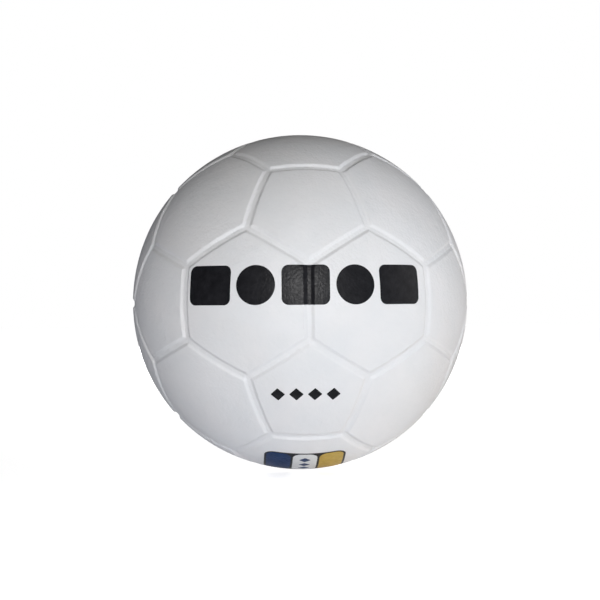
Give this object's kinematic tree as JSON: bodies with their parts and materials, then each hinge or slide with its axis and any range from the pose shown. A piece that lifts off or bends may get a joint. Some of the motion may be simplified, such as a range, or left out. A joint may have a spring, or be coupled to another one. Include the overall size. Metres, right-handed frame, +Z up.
{
  "type": "handball",
  "caption": "Inflated handball with pentagon and hexagon cover panels that meet in rounded grooves, over a wound carcass, a bladder and a needle valve.",
  "frame": {"origin": "centre of the ball", "axes": "+Z up as in the picture and -Y towards its camera; each axis passes through the middle of a seam between two hexagons; the valve points to +Y and a little to +X"},
  "size_m": [0.1876, 0.1876, 0.1876],
  "materials": {
    "cover": "satin white with a fine grain",
    "carcass": "matt",
    "winding": "satin thread",
    "bladder": "satin",
    "valve_housing": "matt",
    "valve_plug": "satin"
  },
  "bodies": {
    "root": {"pentagon_panel_01": "cover", "pentagon_panel_02": "cover", "pentagon_panel_03": "cover", "pentagon_panel_04": "cover", "pentagon_panel_05": "cover", "pentagon_panel_06": "cover", "pentagon_panel_07": "cover", "pentagon_panel_08": "cover", "pentagon_panel_09": "cover", "pentagon_panel_10": "cover", "pentagon_panel_11": "cover", "pentagon_panel_12": "cover", "hexagon_panel_01": "cover", "hexagon_panel_02": "cover", "hexagon_panel_03": "cover", "hexagon_panel_04": "cover", "hexagon_panel_05": "cover", "hexagon_panel_06": "cover", "hexagon_panel_07": "cover", "hexagon_panel_08": "cover", "hexagon_panel_09": "cover", "hexagon_panel_10": "cover", "hexagon_panel_11": "cover", "hexagon_panel_12": "cover", "hexagon_panel_13": "cover", "hexagon_panel_14": "cover", "hexagon_panel_15": "cover", "hexagon_panel_16": "cover", "hexagon_panel_17": "cover", "hexagon_panel_18": "cover", "hexagon_panel_19": "cover", "hexagon_panel_20": "cover", "carcass_valve_cup": "carcass", "carcass_plain_cup": "carcass", "nylon_winding": "winding", "bladder": "bladder", "valve_patch": "bladder", "valve_housing": "valve_housing", "valve_plug": "valve_plug"}
  },
  "joints": []
}
